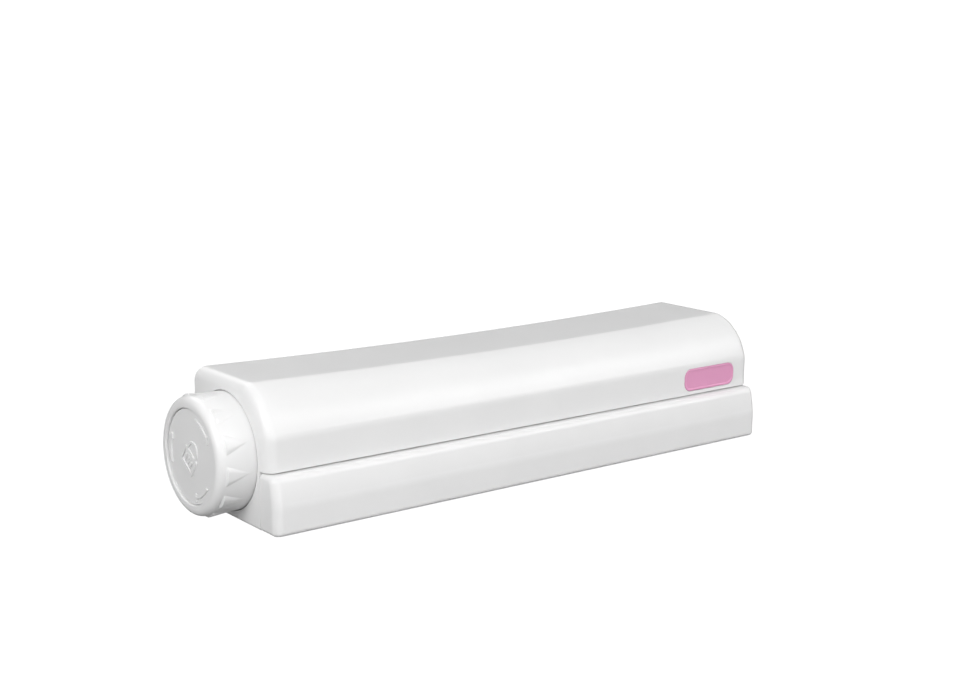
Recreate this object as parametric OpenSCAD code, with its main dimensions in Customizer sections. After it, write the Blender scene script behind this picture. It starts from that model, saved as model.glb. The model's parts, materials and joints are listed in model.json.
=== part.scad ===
// Retractable clothesline: a wall case with a spring-driven four-section spool, a pull bar that
// carries the four cords, and a push-and-turn knob that locks and tightens them.
// Origin: middle of the wall face. +X runs along the case away from the knob, +Y to the wall, +Z up.

/* [Case] */
// Length of the case
case_l = 352; // [332:10:402]
// Depth of the case, from the wall to the front face
case_d = 75; // [74:1:78]
// Height of the case
case_h = 74.6; // [74:0.2:78]
// Depth of the curved slope, measured along the top
slope_d = 24.6; // [24:0.2:25]
// Height of the curved slope, measured down the front
slope_h = 25.3; // [25:0.1:26]
// How far the top dips at mid-length
top_sag = 2.8; // [0:0.1:3]
// Thickness of the plastic walls
shell_t = 2.6; // [2:0.1:2.8]

/* [Pull bar] */
// Height of the seam between case and bar, above the bottom
seam_h = 32; // [31:0.2:33]
// Thickness of the bar, front to back
bar_d = 15.4; // [15:0.1:16]
// How far the bar stands proud of the case front
bar_proud = 7.8; // [7:0.1:8]
// Height of the soft crease along the bar's front
crease_h = 15.6; // [13:0.2:17]

/* [Knob] */
// Radius of the knob
knob_r = 31.6; // [30:0.1:31.6]
// How far the knob stands out of the end of the case
knob_out = 22; // [21:0.1:23]
// Number of grip ribs
ribs = 12; // [8:1:12]
// How far the knob is pushed in to lock
knob_push = 4; // [3.5:0.1:4]

/* [Cords and spool] */
// Diameter of a cord
cord_d = 3; // [2.5:0.1:3]
// Radius of the spool's core
core_r = 16; // [14:0.5:16]
// Radius of the spool's flanges
flange_r = 26.5; // [25:0.5:26.5]
// Turns of the power spring
spring_turns = 10; // [6:1:10]

/* [Badge] */
// Length of the coloured badge
badge_l = 42.4; // [36:0.2:46]
// Height of the coloured badge
badge_h = 13.6; // [12:0.2:14]

/* [Hidden] */
$fn = 72;
fit = 0.05;                      // clearance of a running or sliding fit

// Colours
WHITE = [0.94, 0.94, 0.95];
PINK = [0.86, 0.60, 0.75];
DARK = [0.15, 0.15, 0.16];
GREY = [0.62, 0.63, 0.65];
STEEL = [0.72, 0.73, 0.76];
CORD = [0.97, 0.97, 0.96];

// Case
left_x = -case_l / 2;
right_x = case_l / 2;
bottom_z = -case_h / 2;
top_z = case_h / 2;
front_y = -case_d;
seam_z = bottom_z + seam_h;
function top_at(x) = top_z - top_sag * (1 - pow(x / right_x, 2));
recess_y = front_y - bar_proud + bar_d + 0.8;     // wall behind the docked bar
slope_in = 5.4;                  // corner that the slope's curve is drawn in, in from top and front
case_corners = [[0, bottom_z], [0, top_z], [front_y + slope_d, top_z],
    [front_y + slope_in, top_z - slope_in], [front_y, top_z - slope_h],
    [front_y, seam_z], [recess_y, seam_z], [recess_y, bottom_z]];
case_radii = [1.5, 1.5, 12, 32, 12, 0.8, 0.5, 1.5];
end_r = 5;                       // rounding of the end walls' edges

// Rear cover and bracket
cover_out = -3;                  // outer face of the rear cover
cover_in = -5.6;                 // inner face of the rear cover
bracket_t = 1.6;
screw_pitch = 260;               // between the two wall screws
wall_hole_r = 2.6;
hook_w = 18;
boss_r = 4.4;
boss_gap = 3.9;                  // from a boss's axis to the case's inner face
boss_places = [for (x = [left_x + 17, 0, right_x - 17])
    each [[x, bottom_z + shell_t + boss_gap], [x, top_at(x) - shell_t - boss_gap]]];

// Pull bar
bar_front_y = front_y - bar_proud;
bar_back_y = bar_front_y + bar_d;
bar_top_z = seam_z - 0.5;        // leaves the seam between case and bar
bar_t = 2.2;
bar_corners = [[bar_back_y, bottom_z], [bar_back_y, bar_top_z], [bar_front_y + 2.8, bar_top_z - 0.8],
    [bar_front_y, bottom_z + crease_h], [bar_front_y, bottom_z]];
bar_radii = [1, 0.8, 4.2, 18, 2.5];
bar_end_r = 5;

// Spool, along the axis at (axis_y, axis_z)
axis_y = front_y + 41.6;
axis_z = bottom_z + 35.5;
spool_x = [left_x + 28, right_x - 28];
section_l = (spool_x[1] - spool_x[0]) / 4;
flange_t = 2;
winding_r = core_r + 1.86 * cord_d;
shaft_w = 10;
cord_x = [for (i = [0:3]) spool_x[0] + section_l * (i + 0.5)];
cord_z = bottom_z + 8.5;

// Knob end
well_r = knob_r + 0.4;
well_x = left_x + 8;             // floor of the round well that the knob sinks into
bush_out = well_x - 2;
journal_r = 9;
journal_x = bush_out - 1;        // outer end of the drive hub's journal
teeth = 24;
tooth_h = knob_push - 0.5;
tooth_w = 1.6;
teeth_r = [14, 20];
ring_x = well_x - 2.5;           // root of the lock ring's teeth
dog_x = ring_x - tooth_h - 0.8;  // tips of the clutch's teeth, at rest
dog_root = dog_x - tooth_h;
knob_face = left_x - knob_out;
disc_x = knob_face + 1.8;        // front of the recessed disc
disc_t = 1.6;
disc_r = 25.2;
plate_x = disc_x + disc_t;       // seat of the disc in the cap
plate_t = 2;
stem_x = plate_x + 7.6;          // outer end of the drive hub's square stem
skirt_x = left_x + 3.5;
skirt_t = 3.6;
rim_r = 4;                       // rounding of the knob's rim
rib_l = 15.2;
rib_w = 10.8;
rib_h = 1.3;                     // height of a grip rib at the rim
rib_root = 1.5;                  // depth of a rib's foot in the cap's wall
cap_screw_r = 15.5;
washer_r = 8.5;

// Spring end
plate2_x = spool_x[1] + 1.2;     // bearing plate
cup_x = plate2_x + 2;
cup_l = 16;
cup_r = 27.5;
arbor_r = 8;
pin_r = 5;
spring_t = 0.55;

// ---- Outlines ----

function unit(v) = v / norm(v);

// Outline with every side moved inwards by t; the corners run anticlockwise
function inset(p, t) = [for (i = [0:len(p) - 1]) let (
    b = p[i], u = unit(b - p[(i + len(p) - 1) % len(p)]), v = unit(p[(i + 1) % len(p)] - b),
    nu = [-u[1], u[0]], nv = [-v[1], v[0]]) b + t * (nu + nv) / (1 + nu * nv)];

// Tangent arc of radius r in the corner b, between the neighbours a and c
function corner(a, b, c, r, steps) = let (
    u = unit(a - b), v = unit(c - b), half = acos(u * v) / 2,
    m = b + unit(u + v) * r / sin(half), s = b + u * r / tan(half), e = b + v * r / tan(half),
    a0 = atan2(s[1] - m[1], s[0] - m[0]), a1 = atan2(e[1] - m[1], e[0] - m[0]),
    turn = (a1 - a0 + 540) % 360 - 180)
    [for (k = [0:steps]) m + r * [cos(a0 + turn * k / steps), sin(a0 + turn * k / steps)]];

function rounded(p, radii, steps = 6) = [for (i = [0:len(p) - 1])
    each (radii[i] < 0.05 ? [p[i]]
        : corner(p[(i + len(p) - 1) % len(p)], p[i], p[(i + 1) % len(p)], radii[i], steps))];

function box_outline(x0, x1, y0, y1) = [[x0, y0], [x1, y0], [x1, y1], [x0, y1]];

// Sector of a ring in the plane, from angle a0 to a1
function ring_sector(r0, r1, a0, a1, steps = 12) = concat(
    [for (k = [0:steps]) r1 * [cos(a0 + (a1 - a0) * k / steps), sin(a0 + (a1 - a0) * k / steps)]],
    [for (k = [steps:-1:0]) r0 * [cos(a0 + (a1 - a0) * k / steps), sin(a0 + (a1 - a0) * k / steps)]]);

// ---- Placing ----

// A (Y, Z) outline pushed along X
module along_x(x0, x1) translate([x0, 0, 0]) rotate([90, 0, 90]) linear_extrude(x1 - x0) children();
// An (X, Z) outline pushed along Y
module along_y(y0, y1) translate([0, y1, 0]) rotate([90, 0, 0]) linear_extrude(y1 - y0) children();
module block(x, y, z) translate([x[0], y[0], z[0]]) cube([x[1] - x[0], y[1] - y[0], z[1] - z[0]]);
module on_axis() translate([0, axis_y, axis_z]) children();
// Round and square rods on the spool's axis
module rod(x0, x1, r) on_axis() translate([x0, 0, 0]) rotate([0, 90, 0]) cylinder(h = x1 - x0, r = r);
module square_rod(x0, x1, w) on_axis() block([x0, x1], [-w / 2, w / 2], [-w / 2, w / 2]);
// Round rod along Y
module rod_y(x, y0, y1, z, r) translate([x, y1, z]) rotate([90, 0, 0]) cylinder(h = y1 - y0, r = r);
// A (radius, X) outline turned round the spool's axis
module turned(outline) on_axis() rotate([0, 90, 0]) rotate_extrude() polygon(outline);
// A drawing on the knob's face, raised outwards from x
module on_face(x, h) translate([x, axis_y, axis_z]) rotate([90, 0, -90]) linear_extrude(h) children();

// ---- Case ----

// The case's outer form, or with t the space t inside it, open to the back
module case_form(t = 0) {
    back = t > 0 ? 6 + t : 0;
    profile = [for (p = case_corners) p[0] == 0 ? [back, p[1]] : p];
    arch = [for (k = [10:-1:-10]) [right_x * k / 10, top_at(right_x * k / 10)]];
    upright = concat([[left_x, bottom_z - 9], [right_x, bottom_z - 9]], arch);
    arch_radii = [for (k = [10:-1:-10]) abs(k) == 10 ? end_r - t : 0];
    intersection() {
        along_x(left_x, right_x) polygon(rounded(inset(profile, t), [for (r = case_radii) max(r - t, 0)]));
        translate([0, 0, bottom_z]) linear_extrude(case_h)
            polygon(rounded(inset(box_outline(left_x, right_x, front_y, 12), t),
                [end_r - t, end_r - t, 0, 0]));
        along_y(front_y - 1, 9 + t) polygon(rounded(inset(upright, t), concat([0, 0], arch_radii)));
    }
}

module badge_outline(grow = 0) {
    x1 = right_x - 14.3;
    z0 = seam_z + 2.2;
    polygon(rounded(box_outline(x1 - badge_l - grow, x1 + grow, z0 - grow, z0 + badge_h + grow),
        [for (i = [0:3]) 5 + grow]));
}

module front_shell() color(WHITE) difference() {
    union() {
        difference() {
            case_form();
            difference() {
                case_form(shell_t);
                rod(left_x, well_x + shell_t, well_r + 1.6);
            }
        }
        intersection() {
            case_form();
            for (p = boss_places) rod_y(p[0], -20, cover_in - 0.1, p[1], boss_r);
        }
    }
    rod(left_x - 1, well_x, well_r);
    rod(left_x, well_x + shell_t + 1, 12 + fit);
    for (p = boss_places) rod_y(p[0], -18, cover_in, p[1], 1.5);
    for (x = cord_x) along_y(recess_y - 1, recess_y + shell_t + 1)
        polygon(rounded(box_outline(x - 6.5, x + 6.5, cord_z - 5, cord_z + 5), [2, 2, 2, 2]));
    along_y(front_y - 1, front_y + 1) badge_outline(0.15);
}

module badge() color(PINK) along_y(front_y - 0.35, front_y + 0.95) badge_outline();

module rear_cover() color(WHITE) difference() {
    intersection() {
        case_form(shell_t + 0.2);
        block([left_x, right_x], [cover_in, cover_out], [bottom_z, top_z]);
    }
    rod(left_x - 1, well_x + shell_t + 0.3, well_r + 1.9);
    for (p = boss_places) rod_y(p[0], cover_in - 1, cover_out + 1, p[1], 1.7);
    for (x = [cord_x[0], cord_x[3]])
        block([x - hook_w / 2 - 1, x + hook_w / 2 + 1], [cover_in - 1, cover_out + 1], [-2, 10.1]);
    for (s = [-1, 1]) rod_y(s * screw_pitch / 2, cover_in - 1, cover_out + 1, 0, 7);
}

module wall_bracket() color(STEEL) difference() {
    union() {
        along_y(-bracket_t, 0) polygon(rounded(box_outline(-142, 142, -16, 22), [6, 6, 6, 6]));
        for (x = [cord_x[0], cord_x[3]]) {
            block([x - hook_w / 2, x + hook_w / 2], [-7.8, -bracket_t], [8.4, 10]);
            block([x - hook_w / 2, x + hook_w / 2], [-7.8, -6.2], [8.4, 18]);
        }
    }
    for (s = [-1, 1]) rod_y(s * screw_pitch / 2, -9, 1, 0, wall_hole_r);
}

module case_screws() color(STEEL) for (p = boss_places) union() {
    rod_y(p[0], -16, cover_out, p[1], 1.45);
    rod_y(p[0], cover_out, cover_out + 2, p[1], 3.4);
}

module left_bush() color(GREY) difference() {
    union() {
        rod(bush_out, well_x + 7, 12);
        rod(well_x + shell_t + 0.1, well_x + shell_t + 2.1, 15);
    }
    rod(bush_out - 1, well_x + 8, journal_r + fit);
}

// Ring of straight teeth that stand on a disc, between x0 and x1
module tooth_ring(x0, x1, start) on_axis() for (k = [0:teeth - 1])
    rotate([start + k * 360 / teeth, 0, 0])
        block([x0, x1], [teeth_r[0] + 0.2, teeth_r[1] - 0.2], [-tooth_w / 2, tooth_w / 2]);

module lock_ring() color(GREY) difference() {
    union() {
        rod(ring_x, well_x, teeth_r[1]);
        tooth_ring(ring_x - tooth_h, ring_x + 0.5, 0);
    }
    rod(ring_x - 1, well_x + 1, 13);
}

// ---- Spring end ----

module bearing_plate() color(GREY) difference() {
    intersection() {
        case_form(shell_t + 0.3);
        block([plate2_x, plate2_x + 2], [front_y, cover_in - 0.3], [bottom_z, top_z]);
    }
    rod(plate2_x - 1, plate2_x + 3, 11 + fit);
}

module right_bush() color(GREY) difference() {
    rod(plate2_x, cup_x + 2, 11);
    rod(plate2_x - 1, cup_x + 3, journal_r + fit);
}

module spring_cup() color(GREY) difference() {
    rod(cup_x, cup_x + cup_l, cup_r);
    rod(cup_x + 2, cup_x + cup_l + 1, cup_r - 1.5);
    rod(cup_x - 1, cup_x + 3, 11 + fit);
}

module spring_cover() color(GREY) difference() {
    rod(cup_x + cup_l, cup_x + cup_l + 1.5, cup_r);
    rod(cup_x + cup_l - 1, cup_x + cup_l + 3, pin_r + fit);
}

// Flat strip wound in a spiral from the arbor to the cup's wall
module power_spring() {
    steps = spring_turns * 20;
    r0 = arbor_r + 0.3 + spring_t / 2;
    r1 = cup_r - 1.6 - spring_t / 2;
    function at(k, off) = (r0 + (r1 - r0) * k / steps + off)
        * [cos(spring_turns * 360 * k / steps), sin(spring_turns * 360 * k / steps)];
    color(STEEL) on_axis() along_x(cup_x + 3, cup_x + cup_l - 1) polygon(concat(
        [for (k = [0:steps]) at(k, spring_t / 2)], [for (k = [steps:-1:0]) at(k, -spring_t / 2)]));
}

module spring_arbor() color(GREY) difference() {
    union() {
        rod(spool_x[1] + 0.1, cup_x + 2.6, journal_r);
        rod(cup_x + 2.6, cup_x + cup_l - 0.6, arbor_r);
        rod(cup_x + cup_l - 0.6, cup_x + cup_l + 3.3, pin_r);
    }
    square_rod(spool_x[1], cup_x + 10, shaft_w + 2 * fit);
}

// ---- Spool ----

module spool_shaft() color(STEEL) difference() {
    square_rod(journal_x + 2.1, cup_x + 9.8, shaft_w);
    translate([spool_x[0] - 5, axis_y, axis_z]) cylinder(h = 30, r = 1.52, center = true);
}

module spool(i) {
    x0 = spool_x[0] + section_l * (i - 1);
    x1 = x0 + section_l - 0.1;
    color(GREY) difference() {
        union() {
            rod(x0, x1, core_r);
            rod(x0, x0 + flange_t, flange_r);
            rod(x1 - flange_t, x1, flange_r);
        }
        rod(x0 + 8, x1 - 8, core_r - 2.5);
        square_rod(x0 - 1, x1 + 1, shaft_w + 2 * fit);
    }
}

module cord_winding(i) {
    x0 = spool_x[0] + section_l * (i - 1) + flange_t + 0.2;
    x1 = x0 + section_l - 2 * flange_t - 0.5;
    color(CORD) difference() {
        rod(x0, x1, winding_r);
        rod(x0 - 1, x1 + 1, core_r + 0.02);
    }
}

module drive_hub() color(GREY) difference() {
    union() {
        square_rod(stem_x, journal_x, shaft_w);
        rod(journal_x, well_x + 7.6, journal_r);
        rod(well_x + 7.6, well_x + 11, 14);
        rod(well_x + 11, spool_x[0] - 0.1, 12);
    }
    square_rod(journal_x + 2, spool_x[0], shaft_w + 2 * fit);
    rod(stem_x - 1, stem_x + 13, 1.62);
    translate([spool_x[0] - 5, axis_y, axis_z]) cylinder(h = 30, r = 1.52, center = true);
}

module drive_pin() color(STEEL)
    translate([spool_x[0] - 5, axis_y, axis_z]) cylinder(h = 23, r = 1.5, center = true);

// ---- Knob ----

// Light coil spring round the stem, which pushes the knob out again
module knob_spring() {
    turns = 4;
    rings = turns * 20;
    sides = 6;
    coil_r = 8;
    wire_r = 0.35;
    x0 = dog_root + wire_r + 0.1;
    x1 = journal_x - wire_r - 0.1;
    points = [for (k = [0:rings], s = [0:sides - 1]) let (
        a = turns * 360 * k / rings, b = 360 * s / sides, r = coil_r + wire_r * cos(b))
        [x0 + (x1 - x0) * k / rings + wire_r * sin(b), r * cos(a), r * sin(a)]];
    walls = [for (k = [0:rings - 1], s = [0:sides - 1]) let (n = k * sides, t = (s + 1) % sides)
        [n + s, n + t, n + sides + t, n + sides + s]];
    ends = [[for (s = [sides - 1:-1:0]) s], [for (s = [0:sides - 1]) rings * sides + s]];
    color(STEEL) on_axis() polyhedron(points, concat(walls, ends));
}

module knob_washer() color(STEEL) difference() {
    rod(stem_x - 1, stem_x, washer_r);
    rod(stem_x - 2, stem_x + 1, 1.7);
}

module knob_screw() color(STEEL) union() {
    rod(stem_x - 3.2, stem_x - 1, 3.2);
    rod(stem_x - 1, stem_x + 12, 1.6);
}

module cap_screw_places() for (k = [0:2]) on_axis() rotate([k * 120, 0, 0])
    translate([0, 0, cap_screw_r]) children();

module knob_clutch() color(GREY) difference() {
    union() {
        rod(plate_x + plate_t, dog_root, 12);
        rod(plate_x + plate_t, plate_x + plate_t + 2, 19);
        rod(dog_root - 2.7, dog_root, teeth_r[1] + 0.5);
        tooth_ring(dog_root - 0.5, dog_x, 180 / teeth);
    }
    square_rod(stem_x, dog_root + 1, shaft_w + 2 * fit);
    rod(plate_x, stem_x + 0.1, washer_r + 0.7);
    cap_screw_places() translate([plate_x, 0, 0]) rotate([0, 90, 0]) cylinder(h = 8, r = 1.15);
}

// Rib that is wide and high behind the rim and runs out towards the case
module grip_rib() translate([left_x - 2, 0, knob_r]) intersection() {
    translate([0, 0, -rib_root]) linear_extrude(2 * rib_root)
        polygon([[0, -0.5], [0, 0.5], [-rib_l, rib_w / 2], [-rib_l, -rib_w / 2]]);
    along_y(-rib_w, rib_w)
        polygon([[1, -rib_root - 1], [1, -0.4], [-rib_l - 1, rib_h], [-rib_l - 1, -rib_root - 1]]);
}

module knob_cap() {
    rim = [for (a = [0:15:90]) [knob_r - rim_r * (1 - cos(a)), knob_face + rim_r * (1 - sin(a))]];
    color(WHITE) difference() {
        union() {
            turned(concat([[knob_r - skirt_t, skirt_x], [knob_r - 0.6, skirt_x], [knob_r, skirt_x - 0.6]],
                rim, [[disc_r + 0.9, knob_face], [disc_r + 0.2, knob_face + 0.7], [disc_r + 0.2, plate_x],
                [washer_r + 0.7, plate_x], [washer_r + 0.7, plate_x + plate_t],
                [knob_r - skirt_t - 1.5, plate_x + plate_t], [knob_r - skirt_t, plate_x + plate_t + 1.5]]));
            on_axis() for (k = [0:ribs - 1]) rotate([8 + k * 360 / ribs, 0, 0]) grip_rib();
        }
        cap_screw_places() {
            translate([plate_x - 1, 0, 0]) rotate([0, 90, 0]) cylinder(h = 9, r = 1.25);
            translate([plate_x - 1, 0, 0]) rotate([0, 90, 0]) cylinder(h = 2, r = 2.45);
        }
    }
}

module knob_cap_screws() color(STEEL) cap_screw_places() union() {
    translate([plate_x + 0.05, 0, 0]) rotate([0, 90, 0]) cylinder(h = 0.95, r = 2.4);
    translate([plate_x + 0.5, 0, 0]) rotate([0, 90, 0]) cylinder(h = 5, r = 1.1);
}

// Curved arrow round the disc, pointing clockwise, centred on angle a
module turn_arrow(a) rotate(a) union() {
    polygon(ring_sector(20.6, 22.4, -16, 24));
    polygon([21.5 * [cos(-25), sin(-25)], 18.7 * [cos(-15), sin(-15)], 24.1 * [cos(-15), sin(-15)]]);
}

module padlock() rotate(-36) union() {
    polygon(rounded(box_outline(-7.5, 7.5, -8, 3), [1.2, 1.2, 1.2, 1.2]));
    translate([0, 2.5]) polygon(ring_sector(3.6, 5.4, -5, 185));
}

module knob_disc() color(WHITE) union() {
    rod(disc_x, plate_x, disc_r);
    on_face(disc_x + 0.1, 0.6) for (a = [52, 178, 300]) turn_arrow(a);
    on_face(disc_x + 0.1, 0.6) padlock();
}

// ---- Cords ----

module cord_guide(i) {
    x = cord_x[i - 1];
    y0 = recess_y + shell_t;
    color(DARK) difference() {
        block([x - 8.5, x + 8.5], [y0, y0 + 3.6], [cord_z - 5.4, cord_z + 5.6]);
        rod_y(x, y0 - 1, y0 + 5, cord_z, 2.3);
    }
}

// Cord from the bottom of its winding to its guide
module cord_lead(i) {
    guide = [recess_y + shell_t + 4.4, cord_z];
    c = [axis_y, axis_z];
    r = winding_r + cord_d / 2 + 0.05;
    a = atan2(guide[1] - c[1], guide[0] - c[0]) + acos(r / norm(guide - c));
    start = c + r * [cos(a), sin(a)];
    run = start - guide;
    color(CORD) translate([cord_x[i - 1], guide[0], guide[1]])
        rotate([-atan2(run[0], run[1]), 0, 0]) cylinder(h = norm(run), d = cord_d, $fn = 24);
}

// Cord from its guide to its knot in the bar
module cord_run(i) color(CORD)
    rod_y(cord_x[i - 1], bar_back_y - 10, recess_y + shell_t + 3.4, cord_z, cord_d / 2);

module cord_knot(i) color(CORD) difference() {
    translate([cord_x[i - 1], bar_back_y - 8.6, cord_z]) sphere(r = 3.3, $fn = 32);
    rod_y(cord_x[i - 1], bar_back_y - 14, bar_back_y, cord_z, cord_d / 2 + 0.02);
}

// ---- Pull bar ----

// The bar's outer form, or with t the space t inside it, open to the back
module bar_form(t = 0) {
    back = bar_back_y + (t > 0 ? 3 + t : 0);
    profile = [for (p = bar_corners) p[0] == bar_back_y ? [back, p[1]] : p];
    plan = box_outline(left_x, right_x, bar_front_y, bar_back_y + 9);
    upright = box_outline(left_x, right_x, bottom_z, bar_top_z);
    intersection() {
        along_x(left_x, right_x) polygon(rounded(inset(profile, t), [for (r = bar_radii) max(r - t, 0)]));
        translate([0, 0, bottom_z]) linear_extrude(seam_h)
            polygon(rounded(inset(plan, t), [bar_end_r - t, bar_end_r - t, 0, 0]));
        along_y(bar_front_y - 1, bar_back_y + 3)
            polygon(rounded(inset(upright, t), [for (i = [0:3]) 3 - t]));
    }
}

rib_pitch = section_l / 3;
rib_t = 1.8;
frame_y = [bar_front_y + bar_t + 1.4, bar_back_y - 0.6];
rail_z = [bottom_z + bar_t + 1.1, bottom_z + 15.4, bar_top_z - bar_t - 1.6];
bar_screw_x = [-2 * section_l, -section_l, section_l, 2 * section_l];
bar_screw_z = bottom_z + 10;
bar_boss_y = frame_y[0] + 5;

module bar_front() color(WHITE) difference() {
    union() {
        difference() {
            bar_form();
            bar_form(bar_t);
        }
        for (x = bar_screw_x) rod_y(x, bar_front_y + 1, bar_boss_y - 0.1, bar_screw_z, 3);
    }
    for (x = bar_screw_x) rod_y(x, bar_front_y + 3, bar_boss_y + 1, bar_screw_z, 1.4);
}

// Ribbed inner frame, which holds the knots of the cords and leaves a hook pocket at each end
module bar_frame() color(WHITE) difference() {
    intersection() {
        bar_form(bar_t + 0.2);
        union() {
            for (z = rail_z) block([left_x, right_x], frame_y, [z - rib_t / 2, z + rib_t / 2]);
            for (k = [-7:7]) let (x = k * rib_pitch)
                block([x - rib_t / 2, x + rib_t / 2], frame_y, [rail_z[0], rail_z[2]]);
            for (x = cord_x) block([x - 7, x + 7], frame_y, [rail_z[0], rail_z[1]]);
            for (x = bar_screw_x) rod_y(x, bar_boss_y, frame_y[1], bar_screw_z, 4);
        }
    }
    for (x = cord_x) {
        rod_y(x, frame_y[0] - 1, frame_y[1] + 1, cord_z, cord_d / 2 + 0.4);
        rod_y(x, frame_y[0] - 1, bar_back_y - 5.2, cord_z, 3.6);
    }
    for (x = bar_screw_x) {
        rod_y(x, frame_y[0] - 1, bar_boss_y, bar_screw_z, 3.3);
        rod_y(x, frame_y[0] - 1, frame_y[1] + 1, bar_screw_z, 1.6);
        rod_y(x, frame_y[1] - 1.6, frame_y[1] + 1, bar_screw_z, 3.1);
    }
}

module bar_screws() color(STEEL) for (x = bar_screw_x) union() {
    rod_y(x, bar_boss_y - 4, frame_y[1] - 1.6, bar_screw_z, 1.35);
    rod_y(x, frame_y[1] - 1.6, frame_y[1] - 0.1, bar_screw_z, 3);
}

// ---- Nodes ----

wall_bracket();
rear_cover();
front_shell();
badge();
case_screws();
left_bush();
right_bush();
bearing_plate();
lock_ring();
spring_cup();
spring_cover();
power_spring();
spool_shaft();
drive_hub();
drive_pin();
spring_arbor();
knob_spring();
knob_washer();
knob_screw();
knob_clutch();
knob_cap();
knob_disc();
knob_cap_screws();
bar_front();
bar_frame();
bar_screws();
for (i = [1:4]) {
    spool(i);
    cord_winding(i);
    cord_guide(i);
    cord_lead(i);
    cord_run(i);
    cord_knot(i);
}
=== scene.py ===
# Looks of the retractable clothesline, built around its CAD frame. Lengths are in millimetres
# until a mesh is made; Blender's own are metres.
import json
import math
import bmesh
import bpy
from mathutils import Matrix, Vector


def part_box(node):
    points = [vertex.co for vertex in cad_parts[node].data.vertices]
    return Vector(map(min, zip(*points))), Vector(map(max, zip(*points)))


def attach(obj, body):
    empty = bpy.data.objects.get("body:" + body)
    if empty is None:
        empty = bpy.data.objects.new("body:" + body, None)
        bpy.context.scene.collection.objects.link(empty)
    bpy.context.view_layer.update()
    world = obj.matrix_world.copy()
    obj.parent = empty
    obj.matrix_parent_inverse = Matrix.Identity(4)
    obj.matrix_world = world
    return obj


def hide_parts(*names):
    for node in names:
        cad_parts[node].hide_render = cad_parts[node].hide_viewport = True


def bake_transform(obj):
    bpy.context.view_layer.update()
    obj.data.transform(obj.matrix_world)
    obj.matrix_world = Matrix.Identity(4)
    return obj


MM = 0.001

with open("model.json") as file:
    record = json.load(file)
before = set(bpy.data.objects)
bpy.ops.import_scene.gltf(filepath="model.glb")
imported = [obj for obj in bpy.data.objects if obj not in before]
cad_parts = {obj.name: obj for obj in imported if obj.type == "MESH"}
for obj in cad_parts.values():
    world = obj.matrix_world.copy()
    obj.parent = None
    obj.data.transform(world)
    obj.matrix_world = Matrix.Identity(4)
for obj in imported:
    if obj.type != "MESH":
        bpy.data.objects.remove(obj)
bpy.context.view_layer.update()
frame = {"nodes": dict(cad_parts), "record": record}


def box_mm(node):
    """Lowest and highest corner of a CAD node, in millimetres."""
    return [Vector(corner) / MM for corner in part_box(node)]


# ---- Sizes, from the frame where it has them ----

shell_lo, shell_hi = box_mm("front_shell")
bar_lo, bar_hi = box_mm("bar_front")
cap_lo, cap_hi = box_mm("knob_cap")
disc_lo, disc_hi = box_mm("knob_disc")
badge_lo, badge_hi = box_mm("badge")
guide_lo = box_mm("cord_guide_1")[0]

LEFT, RIGHT = shell_lo.x, shell_hi.x
FRONT, BACK = shell_lo.y, shell_hi.y
BOTTOM, TOP = shell_lo.z, -shell_lo.z
WALL = 2.6                      # wall thickness of the shell
SLOPE_DEPTH, SLOPE_HEIGHT = 24.6, 25.3
SLOPE_IN = 5.4                  # how far in from top and front the slope's middle corner is
SEAM = bar_hi.z + 0.25          # underside of the case's front lip
RECESS = bar_hi.y + 0.4         # wall behind the docked bar
TOP_SAG = 2.8                   # dip of the top at mid-length
AXIS = ((cap_lo.y + cap_hi.y) / 2, (cap_lo.z + cap_hi.z) / 2)
KNOB_R = 31.6                   # of the skirt, without the ribs
KNOB_FACE, SKIRT_END = cap_lo.x, cap_hi.x
WELL_R, WELL_DEPTH = KNOB_R + 0.4, 8.0
CUT_PAST = 3                    # how far a cutter starts outside the surface it cuts
DISC_R = (disc_hi.z - disc_lo.z) / 2
DISC_SEAT = disc_hi.x
DISC_FACE = KNOB_FACE + 1.2
RIBS = 12
CORD_R = 1.5
CORDS = range(1, 5)
CORD_X = [sum(c.x for c in box_mm(f"cord_run_{i}")) / 2 for i in CORDS]
CORD_Z = sum(c.z for c in box_mm("cord_run_1")) / 2


# ---- Outlines in a plane ----

LEAST_ARC = 0.02                # radius of a corner that is drawn sharp
LEAST_RADIUS = 0.3              # of a corner whose sides have moved in


def inset(corners, offsets):
    """Moves side i, from corner i to the next, inwards by offsets[i].

    The corners run anticlockwise.
    """
    moved = []
    for i, here in enumerate(corners):
        before = (here - corners[i - 1]).normalized()
        after = (corners[(i + 1) % len(corners)] - here).normalized()
        n0, n1 = Vector((-before.y, before.x)), Vector((-after.y, after.x))
        c0, c1 = here.dot(n0) + offsets[i - 1], here.dot(n1) + offsets[i]
        det = n0.x * n1.y - n0.y * n1.x
        moved.append(Vector(((c0 * n1.y - c1 * n0.y) / det, (n0.x * c1 - n1.x * c0) / det)))
    return moved


def arc_in_corner(a, b, c, radius, steps):
    """Points of the tangent arc that rounds corner b, between its neighbours a and c."""
    u, v = (a - b).normalized(), (c - b).normalized()
    half = math.acos(max(-1, min(1, u.dot(v)))) / 2
    centre = b + (u + v).normalized() * radius / math.sin(half)
    first = b + u * radius / math.tan(half) - centre
    last = b + v * radius / math.tan(half) - centre
    start = math.atan2(first.y, first.x)
    turn = (math.atan2(last.y, last.x) - start + math.pi) % math.tau - math.pi
    angles = [start + turn * k / steps for k in range(steps + 1)]
    return [centre + radius * Vector((math.cos(a), math.sin(a))) for a in angles]


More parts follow.
